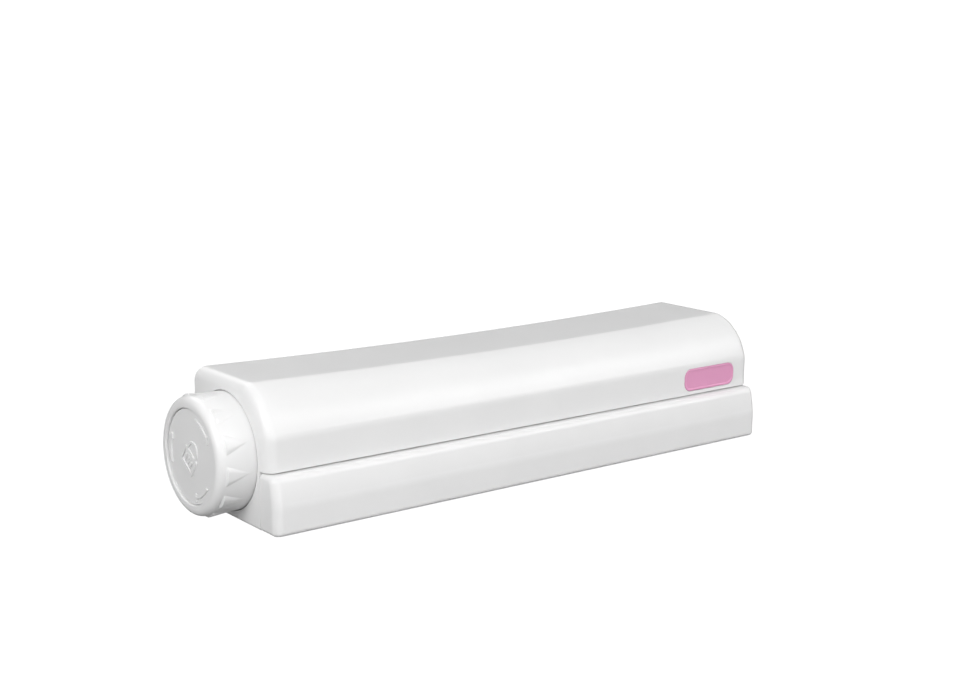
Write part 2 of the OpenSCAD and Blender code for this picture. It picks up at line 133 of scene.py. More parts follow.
def outline(corners, radii, crowns=None, side_steps=8, arc_steps=8):
    """A closed outline with an arc in each corner.

    Side i, from corner i to the next, bows outwards by crowns[i] at its middle.
    """
    count = len(corners)
    crowns = crowns or [0] * count
    arcs = []
    for i in range(count):
        before, here, after = corners[i - 1], corners[i], corners[(i + 1) % count]
        arcs.append(arc_in_corner(before, here, after, max(radii[i], LEAST_ARC), arc_steps))
    points = []
    for i in range(count):
        points += arcs[i]
        start, end = arcs[i][-1], arcs[(i + 1) % count][0]
        along = end - start
        outwards = Vector((along.y, -along.x)).normalized()
        for k in range(1, side_steps):
            u = 0.5 - 0.5 * math.cos(math.pi * k / side_steps)
            points.append(start + along * u + outwards * crowns[i] * 4 * u * (1 - u))
    return points


def drawn_in(radii, offsets):
    """Corner radii after the sides have moved in by their offsets."""
    return [max(r - min(offsets[i], offsets[i - 1]), LEAST_RADIUS)
            for i, r in enumerate(radii)]


def rectangle(x0, x1, y0, y1):
    return [Vector(p) for p in ((x0, y0), (x1, y0), (x1, y1), (x0, y1))]


# ---- Meshes ----

TURNED_STEPS = 128
CAP_INSET = 1.2                 # width of the flat ring round a long body's end cap


def smooth(obj, angle=32):
    """Smooth shading that keeps edges sharper than the angle."""
    obj.data.shade_smooth()
    obj.data.set_sharp_from_angle(angle=math.radians(angle))
    weighted = obj.modifiers.new("weighted normals", "WEIGHTED_NORMAL")
    weighted.keep_sharp = True


def make_mesh(name, points, faces):
    """An object from points in millimetres, with its faces turned outwards."""
    mesh = bpy.data.meshes.new(name)
    mesh.from_pydata([Vector(p) * MM for p in points], [], faces)
    work = bmesh.new()
    work.from_mesh(mesh)
    bmesh.ops.remove_doubles(work, verts=work.verts, dist=1e-7)
    bmesh.ops.recalc_face_normals(work, faces=work.faces)
    work.to_mesh(mesh)
    work.free()
    obj = bpy.data.objects.new(name, mesh)
    bpy.context.scene.collection.objects.link(obj)
    return obj


def loft(name, rings, closed=False):
    """A skin over rings of equal length.

    Its two ends are capped, or with closed the last ring joins the first.
    """
    size = len(rings[0])
    points = [p for ring in rings for p in ring]
    faces = []
    for i in range(len(rings) if closed else len(rings) - 1):
        a, b = i * size, (i + 1) % len(rings) * size
        faces += [(a + k, a + (k + 1) % size, b + (k + 1) % size, b + k)
                  for k in range(size)]
    if not closed:
        last = (len(rings) - 1) * size
        faces += [tuple(range(size))[::-1], tuple(last + k for k in range(size))]
    return make_mesh(name, points, faces)


def prism_y(name, flat, y0, y1):
    """An (X, Z) outline pushed from y0 to y1."""
    return loft(name, [[(p.x, y, p.y) for p in flat] for y in (y0, y1)])


def around_axis(x, radius, angle):
    """A point round the spool's axis, with its angle in radians from the front."""
    return x, AXIS[0] - radius * math.cos(angle), AXIS[1] + radius * math.sin(angle)


def turned(name, profile):
    """A closed (radius, X) profile turned round the spool's axis."""
    rings = []
    for k in range(TURNED_STEPS):
        angle = math.tau * k / TURNED_STEPS
        rings.append([around_axis(x, r, angle) for r, x in profile])
    return loft(name, rings, closed=True)


def apply_modifiers(obj):
    """Bakes the object's modifiers into its mesh."""
    bpy.context.view_layer.update()
    finished = obj.evaluated_get(bpy.context.evaluated_depsgraph_get())
    mesh = bpy.data.meshes.new_from_object(finished)
    obj.modifiers.clear()
    obj.data = mesh


def combine(obj, others, operation):
    """Cuts the others out of obj, or joins them to it, and removes them."""
    for other in others:
        modifier = obj.modifiers.new("boolean", "BOOLEAN")
        modifier.object = other
        modifier.operation = operation
        modifier.solver = "EXACT"
    apply_modifiers(obj)
    for other in others:
        bpy.data.objects.remove(other)


def fillet_points(centre, radius, start, end, steps):
    """Points of an arc in a (radius, X) profile, angles in degrees."""
    angles = [math.radians(start + (end - start) * k / steps) for k in range(steps + 1)]
    return [(centre[0] + radius * math.cos(a), centre[1] + radius * math.sin(a))
            for a in angles]


def end_drop(distance, radius):
    """How far a rounded edge of that radius has drawn in, at a distance from the end plane."""
    if distance >= radius:
        return 0
    return radius - math.sqrt(radius ** 2 - (radius - distance) ** 2)


def stations_along(lo, hi, radius, pitch):
    """X positions with their distances from the nearer end.

    They are close together where the ends are rounded, and about pitch apart between.
    """
    edge = [radius * (1 - math.cos(math.radians(a))) for a in range(0, 91, 9)]
    straight = hi - lo - 2 * radius
    steps = max(2, round(straight / pitch))
    xs = [lo + e for e in edge]
    xs += [lo + radius + straight * k / steps for k in range(1, steps)]
    xs += [hi - e for e in reversed(edge)]
    return [(x, min(x - lo, hi - x)) for x in xs]


def long_form(name, lo, hi, end_radii, section, pitch=5):
    """A long body with rounded ends: side i is rounded by end_radii[i].

    section(x, offsets) gives the outline at x, with its sides moved in by the offsets.
    """
    rings = []
    stations = stations_along(lo, hi, max(end_radii), pitch)
    first, last = 0, len(stations) + 1
    for i, (x, distance) in enumerate([stations[0], *stations, stations[-1]]):
        offsets = [end_drop(distance, r) for r in end_radii]
        if i in (first, last):
            offsets = [o + CAP_INSET for o in offsets]
        rings.append([(x, p.x, p.y) for p in section(x, offsets)])
    return loft(name, rings)


# ---- Case ----

CASE_RADII = [1.2, 1.5, 12, 32, 12, 0.4, 0.8, 1.2]
CASE_END_RADII = [0, 6.5, 6.5, 6.5, 6.5, 0.5, 0.3, 2]
CAVITY_RADII = [0.5, 0.5, 9, 28, 9, 0.5, 3, 0.5]
CAVITY_PAST_BACK = 12           # the case is open at the back
CAVITY_LEAD, CAVITY_STEPS = 10, 24
MOUTH_R = 0.3                   # rounding of the knob well's mouth
WELL_WALL = 1.6
BUSH_HOLE_R, BUSH_HOLE_DEPTH = 12.05, 20
WINDOW_HALF_W, WINDOW_HALF_H, WINDOW_R = 6.5, 5, 2.2
POCKET_GAP, POCKET_DEPTH = 0.25, 0.9


def case_corners(x, back=BACK):
    """Corners of the case's section at x, from the back's lower corner round by the top."""
    sag = TOP_SAG * (1 - (x / RIGHT) ** 2)
    return [Vector(p) for p in (
        (back, BOTTOM), (back, TOP - sag), (FRONT + SLOPE_DEPTH, TOP - 0.9 * sag),
        (FRONT + SLOPE_IN, TOP - SLOPE_IN - 0.6 * sag), (FRONT, TOP - SLOPE_HEIGHT),
        (FRONT, SEAM), (RECESS, SEAM), (RECESS, BOTTOM))]


def case_section(x, offsets):
    return outline(inset(case_corners(x), offsets), drawn_in(CASE_RADII, offsets))


def cavity_section(x):
    corners = inset(case_corners(x, BACK + CAVITY_PAST_BACK), [WALL] * len(CAVITY_RADII))
    return outline(corners, CAVITY_RADII, side_steps=3)


def case_cavity():
    """Cutter for the case's inside, which follows the dip of the top."""
    straight = RIGHT - LEFT - 2 * CAVITY_LEAD
    stations = [LEFT + WALL]
    stations += [LEFT + CAVITY_LEAD + straight * k / CAVITY_STEPS
                 for k in range(CAVITY_STEPS + 1)]
    stations += [RIGHT - WALL]
    return loft("hollow", [[(x, p.x, p.y) for p in cavity_section(x)] for x in stations])


def knob_well():
    """Cutter for the round well that the knob's skirt sinks into, with a rounded mouth."""
    start, floor = LEFT - CUT_PAST, LEFT + WELL_DEPTH
    mouth = fillet_points((WELL_R + MOUTH_R, LEFT + MOUTH_R), MOUTH_R, 180, 270, 4)
    return turned("knob well", [(0, start), (0, floor), (WELL_R, floor), *mouth,
                                (WELL_R + MOUTH_R, start)])


def plug(name, radius, start, end):
    """A round solid on the spool's axis, from start to end."""
    return turned(name, [(0, start), (0, end), (radius, end), (radius, start)])


def cord_window(x):
    """Cutter for the opening that one cord leaves the case by."""
    flat = rectangle(x - WINDOW_HALF_W, x + WINDOW_HALF_W,
                     CORD_Z - WINDOW_HALF_H, CORD_Z + WINDOW_HALF_H)
    return prism_y("cord window", outline(flat, [WINDOW_R] * 4),
                   RECESS - CUT_PAST, RECESS + WALL + 1)


def make_case():
    """Shell with its cavity, the knob's well, the bush's hole, cord windows and badge pocket."""
    shell = long_form("case_shell", LEFT, RIGHT, CASE_END_RADII, case_section)
    hollow = case_cavity()
    well_wall = plug("well wall", WELL_R + WELL_WALL, LEFT - 1, LEFT + WELL_DEPTH + WALL)
    combine(hollow, [well_wall], "DIFFERENCE")
    bush_hole = plug("bush hole", BUSH_HOLE_R, LEFT, LEFT + BUSH_HOLE_DEPTH)
    windows = [cord_window(x) for x in CORD_X]
    pocket = prism_y("badge pocket", badge_outline(POCKET_GAP),
                     FRONT - CUT_PAST, FRONT + POCKET_DEPTH)
    combine(shell, [hollow, knob_well(), bush_hole, pocket] + windows, "DIFFERENCE")
    smooth(shell)
    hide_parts("front_shell")
    finish_piece(shell, "case", "white_plastic")


# ---- Badge ----

BADGE_R = 5                     # of its corners
BADGE_EDGE = 0.45               # rounding of the rim's outer edge
BADGE_FOOT = ((-0.1, 1.3), (0, 1.2))        # (outwards, behind the rim)
BADGE_STEP = ((1.0, 0), (1.15, 0.06), (1.4, 0.27), (1.6, 0.3), (4.0, 0.3))  # (inwards, behind)


def badge_outline(grow):
    """The badge's outline, larger by grow all round."""
    flat = rectangle(badge_lo.x - grow, badge_hi.x + grow,
                     badge_lo.z - grow, badge_hi.z + grow)
    return outline(flat, [BADGE_R + grow] * 4, arc_steps=12)


def make_badge():
    """Inlaid plate with a raised rim round a flat face."""
    steps = list(BADGE_FOOT)
    for degrees in range(0, 91, 15):
        a = math.radians(degrees)
        steps.append((-BADGE_EDGE * (1 - math.cos(a)), BADGE_EDGE * (1 - math.sin(a))))
    steps += [(-inwards, depth) for inwards, depth in BADGE_STEP]
    badge = loft("badge_plate", [[(p.x, badge_lo.y + depth, p.y) for p in badge_outline(grow)]
                                 for grow, depth in steps])
    smooth(badge, 50)
    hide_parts("badge")
    finish_piece(badge, "case", "pink_plastic")


# ---- Pull bar ----

BAR_RADII = [1, 0.8, 4.2, 22, 2.5]
BAR_CROWNS = [0, 0, 0.15, 0, 0]
BAR_END_RADII = [0, 3.2, 4.8, 4.8, 2.5]
BAR_CAVITY_RADII = [0.5, 0.5, 2, 18, 1.5]
BAR_WALL = 2.2
BAR_CAVITY_PAST_BACK = 8        # the bar is open at the back
CREASE = 15.6                   # height of the crease above the bar's underside
BAR_LEAN, BAR_TOP_SLOPE = 2.8, 0.8
SINK_DEPTH = 0.14               # faint sink marks over the cord anchors
SINK_HEIGHT = 23                # of their middle above the bar's underside
SINK_HALF_W, SINK_HALF_H = 4.5, 4


def bar_corners(back):
    """Corners of the bar's section, from the back's lower corner round by the top."""
    return [Vector(p) for p in (
        (back, BOTTOM), (back, bar_hi.z), (bar_lo.y + BAR_LEAN, bar_hi.z - BAR_TOP_SLOPE),
        (bar_lo.y, BOTTOM + CREASE), (bar_lo.y, BOTTOM))]


def sink_mark(x, z):
    """How far the bar's front is drawn in at (x, z)."""
    beside = sum(math.exp(-((x - c) / SINK_HALF_W) ** 2) for c in CORD_X)
    return SINK_DEPTH * beside * math.exp(-((z - BOTTOM - SINK_HEIGHT) / SINK_HALF_H) ** 2)


def bar_section(x, offsets):
    corners = inset(bar_corners(bar_hi.y), offsets)
    points = outline(corners, drawn_in(BAR_RADII, offsets), BAR_CROWNS)
    for p in points:
        if p.x < bar_hi.y - 8:  # the front half only
            p.x += sink_mark(x, p.y)
    return points


def make_bar():
    """The bar's outer moulding, hollow and open at the back."""
    bar = long_form("pull_bar_shell", bar_lo.x, bar_hi.x, BAR_END_RADII, bar_section,
                    pitch=2.5)
    corners = inset(bar_corners(bar_hi.y + BAR_CAVITY_PAST_BACK), [BAR_WALL] * len(BAR_RADII))
    inner = outline(corners, BAR_CAVITY_RADII, side_steps=3)
    hollow = loft("hollow", [[(x, p.x, p.y) for p in inner]
                             for x in (bar_lo.x + BAR_WALL, bar_hi.x - BAR_WALL)])
    combine(bar, [hollow], "DIFFERENCE")
    smooth(bar)
    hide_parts("bar_front")
    finish_piece(bar, "pull_bar", "white_plastic")


# ---- Knob ----

RIB_TIP, RIB_END = LEFT - 4.0, LEFT - 17.2
RIB_HEIGHT = 1.1                # at its end, next to the rim
RIB_HALF = 10.0                 # half its width there, in degrees
RIB_TIP_HALF = 0.4              # half its width at its tip, in degrees
RIB_FLAT = 0.35                 # share of the half width that has the rib's full height
RIB_WALL = 0.9                  # length over which the rib's end falls to the grip
FIRST_RIB = -8                  # degrees from the front
RIM_R, RIM_FLAT = 4.0, 0.6
SKIRT_WALL = 3.6
DISC_GAP = 0.2                  # between the disc and its seat's wall
LIP_R = 0.7                     # rounding of the face's inner edge
HUB_HOLE_R = 9.2
SEAT_WALL = 2                   # thickness of the cap behind the disc


def rib_share(x):
    """How far along a rib x is: 0 at its tip, 1 at its wide end."""
    return max(0, min(1, (RIB_TIP - x) / (RIB_TIP - RIB_END)))


def rib_height(x, across):
    """Height of a rib at x, and across it from -1 to 1 between its edges."""
    end_wall = max(0, min(1, (x - RIB_END) / RIB_WALL + 0.5))
    round_off = max(0, (abs(across) - RIB_FLAT) / (1 - RIB_FLAT))
    return RIB_HEIGHT * rib_share(x) * end_wall * max(0, 1 - round_off ** 2)


def knob_profile():
    """(radius, X) round the cap: inner wall, skirt end, grip, rim, face, lip, seat, hub hole."""
    inner_r, seat_r, back = KNOB_R - SKIRT_WALL, DISC_R + DISC_GAP, DISC_SEAT + SEAT_WALL
    grip = [SKIRT_END - 0.6, SKIRT_END - 2, SKIRT_END - 5, RIB_TIP + 0.6]
    grip += [RIB_TIP + (RIB_END - RIB_TIP) * k / 16 for k in range(16)]
    grip += [RIB_END + RIB_WALL * k / 6 for k in (3, 2, 1, 0, -1, -2, -3)]
    profile = [(inner_r, SKIRT_END - 0.3), (inner_r + 0.3, SKIRT_END)]
    profile += [(KNOB_R - 0.5, SKIRT_END)]
    profile += [(KNOB_R, x) for x in grip if x > KNOB_FACE + RIM_R]
    profile += fillet_points((KNOB_R - RIM_R, KNOB_FACE + RIM_R), RIM_R, 0, -90, 10)
    profile += [(KNOB_R - RIM_R - RIM_FLAT, KNOB_FACE)]
    profile += fillet_points((seat_r + LIP_R, KNOB_FACE + LIP_R), LIP_R, 270, 180, 5)
    profile += [(seat_r, DISC_FACE), (seat_r, DISC_SEAT)]
    profile += [(HUB_HOLE_R, DISC_SEAT), (HUB_HOLE_R, back)]
    profile += [(inner_r - 1.5, back), (inner_r, back + 1.5)]
    return profile


def knob_columns():
    """For each column of the cap's mesh: its rib's number, and its place across the rib.

    The rib's edges are at -1 and 1. -2 is halfway to the rib before; 2 would be the next
    rib's -2, and is left out.
    """
    half = [-2, -1.75, -1.5, -1.25, -1.08, -1, -0.94, -0.86, -0.75, -0.6, -0.45, -0.3, -0.15]
    places = half + [0] + [-a for a in reversed(half)][:-1]
    return [(rib, across) for rib in range(RIBS) for across in places]


def rib_angle(x, across):
    """Degrees from the rib's middle to a column's place at x."""
    half = RIB_TIP_HALF + (RIB_HALF - RIB_TIP_HALF) * rib_share(x)
    if abs(across) <= 1:
        return across * half
    return math.copysign(half + (abs(across) - 1) * (180 / RIBS - half), across)


def make_knob_cap():
    """Cap with a rounded rim, a seat for the disc and wedge-shaped grip ribs."""
    profile = knob_profile()
    rings = []
    for rib, across in knob_columns():
        ring = []
        for r, x in profile:
            on_grip = r > KNOB_R - 0.01
            radius = r + (rib_height(x, across) if on_grip else 0)
            angle = FIRST_RIB + rib * 360 / RIBS + rib_angle(x, across)
            ring.append(around_axis(x, radius, math.radians(angle)))
        rings.append(ring)
    cap = loft("knob_cap_moulded", rings, closed=True)
    smooth(cap, 40)
    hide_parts("knob_cap")
    finish_piece(cap, "knob", "white_plastic")


# ---- Knob disc, with its signs drawn x to the right and y up as the knob's user sees them ----

SIGN_HEIGHT, SIGN_EDGE = 0.75, 0.3
SIGN_ROOT = 0.3                 # how far a sign starts inside the disc
ARROW_R = 21.5                  # middle of the arrows' curve
ARROW_HALF, HEAD_HALF = 0.8, 2.6
ARROWS = (52, 178, 300)         # their middles, in degrees
LOCK_TURN = -36
LOCK_BODY = (-7.2, 7.2, -8.5, 2.5)
LOCK_FRAME = 1.8                # width of the frame round the lock's window
LOCK_BARS = (-3.0, 0.0, 3.0)
SHACKLE_OUTER, SHACKLE_INNER = 5.4, 3.7
SHACKLE_FOOT, SHACKLE_MIDDLE = 2.0, 4.0


def on_face(flat, height):
    """Puts a drawing on the disc, raised by height."""
    return [(DISC_FACE - height, AXIS[0] - p.x, AXIS[1] + p.y) for p in flat]


def raised_sign(name, flat, radii):
    """A raised sign with a rounded edge, from the corners of its outline."""
    levels = [(0, -SIGN_ROOT)]
    for k in range(5):
        a = math.radians(90 * k / 4)
        levels.append((SIGN_EDGE * (1 - math.cos(a)),
                       SIGN_HEIGHT - SIGN_EDGE + SIGN_EDGE * math.sin(a)))
    rings = []
    for inwards, height in levels:
        corners = inset(flat, [inwards] * len(flat)) if inwards else flat
        smaller = [max(r - inwards, 0.03) for r in radii]
        rings.append(on_face(outline(corners, smaller, side_steps=2, arc_steps=3), height))
    return loft(name, rings)


def turn_arrow(middle):
    """Corners and radii of a curved arrow that points clockwise, middle in degrees."""
    def at(radius, angle):
        a = math.radians(middle + angle)
        return Vector((radius * math.cos(a), radius * math.sin(a)))
    outer = [at(ARROW_R + ARROW_HALF, a) for a in range(-14, 25, 3)]
    inner = [at(ARROW_R - ARROW_HALF, a) for a in range(22, -15, -3)]
    head = [at(ARROW_R - HEAD_HALF, -13.5), at(ARROW_R, -24), at(ARROW_R + HEAD_HALF, -13.5)]
    radii = [0.05] * len(inner) + [0.3] * len(head) + [0.05] * len(outer)
    return inner + head + outer, radii


def lock_turned(corners):
    """Corners turned to the padlock's slant."""
    a = math.radians(LOCK_TURN)
    return [Vector((p.x * math.cos(a) - p.y * math.sin(a),
                    p.x * math.sin(a) + p.y * math.cos(a))) for p in corners]


def shackle_corners():
    """The padlock's shackle: up its outer arc and back along its inner one."""
    def arc(radius, angles):
        return [Vector((radius * math.cos(math.radians(a)),
                        SHACKLE_MIDDLE + radius * math.sin(math.radians(a)))) for a in angles]
    corners = [Vector((SHACKLE_OUTER, SHACKLE_FOOT))]
    corners += arc(SHACKLE_OUTER, range(0, 181, 12))
    corners += [Vector((-SHACKLE_OUTER, SHACKLE_FOOT)), Vector((-SHACKLE_INNER, SHACKLE_FOOT))]
    corners += arc(SHACKLE_INNER, range(180, -1, -12))
    return corners + [Vector((SHACKLE_INNER, SHACKLE_FOOT))]


def padlock():
    """The padlock's raised pieces: a frame, three bars in its window and a shackle."""
    frame_sign = raised_sign("lock body", lock_turned(rectangle(*LOCK_BODY)), [1.4] * 4)
    x0, x1, y0, y1 = LOCK_BODY
    window = lock_turned(rectangle(x0 + LOCK_FRAME, x1 - LOCK_FRAME,
                                   y0 + LOCK_FRAME, y1 - LOCK_FRAME))
    cutter = loft("lock window", [on_face(window, -1), on_face(window, 2)])
    combine(frame_sign, [cutter], "DIFFERENCE")
    bars = [raised_sign("lock bar", lock_turned(rectangle(x - 0.7, x + 0.7, -5.2, -0.8)),
                        [0.5] * 4) for x in LOCK_BARS]
    corners = lock_turned(shackle_corners())
    shackle = raised_sign("lock shackle", corners, [0.05] * len(corners))
    return [frame_sign, *bars, shackle]


def make_knob_disc():
    """Recessed disc with a padlock and three turning arrows, all raised."""
    profile = [(0.0, DISC_SEAT)]
    profile += [(r, DISC_FACE - crown)
                for r, crown in ((0.0, 0.12), (8, 0.1), (16, 0.06), (22, 0.02))]
    profile += fillet_points((DISC_R - 0.5, DISC_FACE + 0.5), 0.5, 270, 360, 5)
    profile += [(DISC_R, DISC_SEAT)]
    disc = turned("knob_disc_moulded", profile)
    arrows = [raised_sign("arrow", *turn_arrow(middle)) for middle in ARROWS]
    combine(disc, arrows + padlock(), "UNION")
    smooth(disc, 50)
    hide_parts("knob_disc")
    finish_piece(disc, "knob", "white_plastic")


# ---- Knob's return spring ----

SPRING_TURNS, SPRING_STEPS = 4, 32
SPRING_WIRE_R, SPRING_SIDES = 0.35, 10


def make_knob_spring():
    """Return spring between the knob and the spool."""
    lo, hi = box_mm("knob_spring")
    coil_r = (hi.z - lo.z) / 2 - SPRING_WIRE_R
    x0, x1 = lo.x + SPRING_WIRE_R, hi.x - SPRING_WIRE_R
    rings = []
    steps = SPRING_TURNS * SPRING_STEPS
    for k in range(steps + 1):
        turn = math.tau * k / SPRING_STEPS
        x = x0 + (x1 - x0) * k / steps
        ring = []
        for side in range(SPRING_SIDES):
            a = math.tau * side / SPRING_SIDES
            r = coil_r + SPRING_WIRE_R * math.cos(a)
            ring.append(around_axis(x + SPRING_WIRE_R * math.sin(a), r, -turn))
        rings.append(ring)
    spring = loft("knob_return_spring", rings)
    smooth(spring, 60)
    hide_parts("knob_spring")
    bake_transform(spring)
    paint(spring, "spring_steel")


# ---- Cords ----

CORD_SIDES, CORD_STEPS = 20, 24


def ring_across_y(x, y, radius, sides):
    """Points round a cord's line at y."""
    angles = [math.tau * k / sides for k in range(sides)]
    return [(x + radius * math.cos(a), y, CORD_Z + radius * math.sin(a)) for a in angles]


def make_cord(i):
    """The cord from its guide to its knot in the bar."""
    lo, hi = box_mm(f"cord_run_{i}")
    stations = [hi.y, guide_lo.y + 1.0]
    stations += [guide_lo.y + (bar_hi.y - guide_lo.y) * k / CORD_STEPS
                 for k in range(CORD_STEPS + 1)]
    stations += [bar_hi.y - 3, lo.y]
    cord = loft(f"cord_{i}", [ring_across_y(CORD_X[i - 1], y, CORD_R, CORD_SIDES)
                              for y in stations])
    smooth(cord, 60)
    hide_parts(f"cord_run_{i}")
    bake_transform(cord)
    paint(cord, "cord_plastic")


# ---- Parts that keep their CAD form ----

def softened(node, body, slot, bevel):
    """Replaces a CAD node by a copy with its edges bevelled, in millimetres."""
    mesh = frame["nodes"][node].data.copy()
    work = bmesh.new()
    work.from_mesh(mesh)
    bmesh.ops.remove_doubles(work, verts=work.verts, dist=1e-6)
    bmesh.ops.dissolve_limit(work, angle_limit=math.radians(1), verts=work.verts, edges=work.edges)
    work.to_mesh(mesh)
    work.free()
    obj = bpy.data.objects.new(f"{node}_softened", mesh)
    bpy.context.scene.collection.objects.link(obj)
    edge = obj.modifiers.new("edges", "BEVEL")
    edge.width = bevel * MM
    edge.segments = 2
    edge.limit_method = "ANGLE"
    edge.angle_limit = math.radians(40)
    apply_modifiers(obj)
    smooth(obj, 40)
    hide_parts(node)
    finish_piece(obj, body, slot)


# ---- Cord guides ----

PLUG_HALF_W, PLUG_HALF_H, PLUG_R = 6.2, 4.7, 2
PLUG_SET_BACK = 0.6             # of its front behind the recess wall
THROAT_SIDES = 48
THROAT_MOUTH = ((-1, 4.4), (0, 3.9), (0.5, 3.1), (1.2, 2.5), (2.2, 2.2))   # (behind front, radius)
THROAT_REAR = ((-0.8, 2.2), (0, 2.7), (1, 3.2))         # (behind the rear face, radius)


def make_cord_guide(i):
    """Black eyelet plate with a bell mouth that reaches to the front of its window."""
    lo, hi = box_mm(f"cord_guide_{i}")
    x, front = CORD_X[i - 1], RECESS + PLUG_SET_BACK
    flat = rectangle(lo.x, hi.x, lo.z, hi.z)
    plate = prism_y(f"cord_eyelet_{i}", outline(flat, [1.5] * 4, arc_steps=6), lo.y, hi.y)
    flat = rectangle(x - PLUG_HALF_W, x + PLUG_HALF_W,
                     CORD_Z - PLUG_HALF_H, CORD_Z + PLUG_HALF_H)
    plug_form = prism_y("guide_plug", outline(flat, [PLUG_R] * 4), front, lo.y + 1)
    places = [(front + y, r) for y, r in THROAT_MOUTH] + [(hi.y + y, r) for y, r in THROAT_REAR]
    throat = loft("throat", [ring_across_y(x, y, r, THROAT_SIDES) for y, r in places])
    combine(plate, [plug_form], "UNION")
    combine(plate, [throat], "DIFFERENCE")
    smooth(plate, 40)
    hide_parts(f"cord_guide_{i}")
    finish_piece(plate, "case", "dark_plastic")


# ---- Materials ----

RIPPLE = 0.01                   # millimetres of soft ripple on moulded plastic


def new_material(name):
    material = bpy.data.materials.new(name)
    material.use_nodes = True
    nodes = material.node_tree.nodes
    return material, nodes, material.node_tree.links, nodes["Principled BSDF"]


def add_noise(nodes, links, scale, detail, stretch=None):
    """Noise over the object's own coordinates, scale in features per metre."""
    place = nodes.new("ShaderNodeTexCoord")
    noise = nodes.new("ShaderNodeTexNoise")
    noise.inputs["Scale"].default_value = scale
    noise.inputs["Detail"].default_value = detail
    source = place.outputs["Object"]
    if stretch:
        mapping = nodes.new("ShaderNodeMapping")
        mapping.inputs["Scale"].default_value = stretch
        links.new(source, mapping.inputs["Vector"])
        source = mapping.outputs["Vector"]
    links.new(source, noise.inputs["Vector"])
    return noise.outputs["Fac"]


def shade_between(nodes, links, source, low, high):
    """Maps noise smoothly to a colour between low and high."""
    node = nodes.new("ShaderNodeValToRGB")
    node.color_ramp.interpolation = "EASE"
    node.color_ramp.elements[0].position = 0.2
    node.color_ramp.elements[1].position = 0.8
    for element, colour in zip(node.color_ramp.elements, (low, high)):
        element.color = (*colour, 1)
    links.new(source, node.inputs["Fac"])
    return node.outputs["Color"]


def value_between(nodes, links, source, low, high):
    """Maps noise to a number between low and high."""
    node = nodes.new("ShaderNodeMapRange")
    node.inputs["To Min"].default_value = low
    node.inputs["To Max"].default_value = high
    links.new(source, node.inputs["Value"])
    return node.outputs["Result"]


def tint(nodes, links, shader, scale, detail, low, high):
    """Lets the colour wander between low and high."""
    noise = add_noise(nodes, links, scale, detail)
    links.new(shade_between(nodes, links, noise, low, high), shader.inputs["Base Color"])


def uneven_gloss(nodes, links, shader, scale, detail, low, high, stretch=None):
    """Lets the roughness wander between low and high."""
    noise = add_noise(nodes, links, scale, detail, stretch)
    links.new(value_between(nodes, links, noise, low, high), shader.inputs["Roughness"])


def add_bump(nodes, links, shader, heights):
    """Chains bumps; each is (height, distance in millimetres)."""
    previous = None
    for height, distance in heights:
        bump = nodes.new("ShaderNodeBump")
        bump.inputs["Distance"].default_value = distance * MM
        links.new(height, bump.inputs["Height"])
        if previous:
            links.new(previous, bump.inputs["Normal"])
        previous = bump.outputs["Normal"]
    links.new(previous, shader.inputs["Normal"])


def darkened(colour, share):
    return tuple(c * share for c in colour)


def moulded_plastic(name, colour, roughness, variation=0.03, grain=0.0015):
    """Injection-moulded plastic: faint flow shading, uneven gloss, a soft ripple, fine grain."""
    material, nodes, links, shader = new_material(name)
    tint(nodes, links, shader, 22, 3, darkened(colour, 1 - variation), colour)
    uneven_gloss(nodes, links, shader, 90, 2, roughness - 0.06, roughness + 0.06)
    heights = [(add_noise(nodes, links, 160, 2), RIPPLE),
               (add_noise(nodes, links, 2600, 2), grain)]
    add_bump(nodes, links, shader, heights)
    shader.inputs["IOR"].default_value = 1.5
    return material


def metal(name, colour, roughness, stretch=(1, 1, 1)):
    """Plated or rolled steel with a fine uneven finish."""
    material, nodes, links, shader = new_material(name)
    tint(nodes, links, shader, 120, 4, darkened(colour, 0.82), colour)
    shader.inputs["Metallic"].default_value = 1
    uneven_gloss(nodes, links, shader, 900, 3, roughness - 0.1, roughness + 0.1, stretch)
    add_bump(nodes, links, shader, [(add_noise(nodes, links, 1500, 2, stretch), 0.004)])
    return material


def cord_sheath(name, colour):
    """Smooth cord sheath with a faint twist and slightly uneven gloss."""
    material, nodes, links, shader = new_material(name)
    tint(nodes, links, shader, 300, 3, darkened(colour, 0.93), colour)
    uneven_gloss(nodes, links, shader, 500, 2, 0.36, 0.5)
    place = nodes.new("ShaderNodeTexCoord")
    twist = nodes.new("ShaderNodeTexWave")
    twist.bands_direction = "DIAGONAL"
    twist.inputs["Scale"].default_value = 260
    twist.inputs["Distortion"].default_value = 0.4
    links.new(place.outputs["Object"], twist.inputs["Vector"])
    add_bump(nodes, links, shader, [(twist.outputs["Fac"], 0.06)])
    return material


MATERIALS = {
    "white_plastic": moulded_plastic("white ABS", (0.802, 0.802, 0.802), 0.32),
    "pink_plastic": moulded_plastic("pink ABS", (0.75, 0.335, 0.535), 0.34, variation=0.06),
    "inner_plastic": moulded_plastic("grey nylon", (0.42, 0.43, 0.45), 0.45,
                                     variation=0.1, grain=0.003),
    "dark_plastic": moulded_plastic("black acetal", (0.018, 0.018, 0.02), 0.4, variation=0.2),
    "cord_plastic": cord_sheath("white cord", (0.84, 0.84, 0.83)),
    "steel": metal("zinc-plated steel", (0.66, 0.67, 0.69), 0.36),
    "spring_steel": metal("spring steel", (0.36, 0.37, 0.40), 0.3, stretch=(6, 1, 1)),
}


def paint(obj, slot):
    """Gives a new piece the material of a slot."""
    obj.data.materials.clear()
    obj.data.materials.append(MATERIALS[slot])


def finish_piece(obj, body, slot):
    """Gives a piece its material and lets it move with its CAD body."""
    paint(obj, slot)
    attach(obj, body)


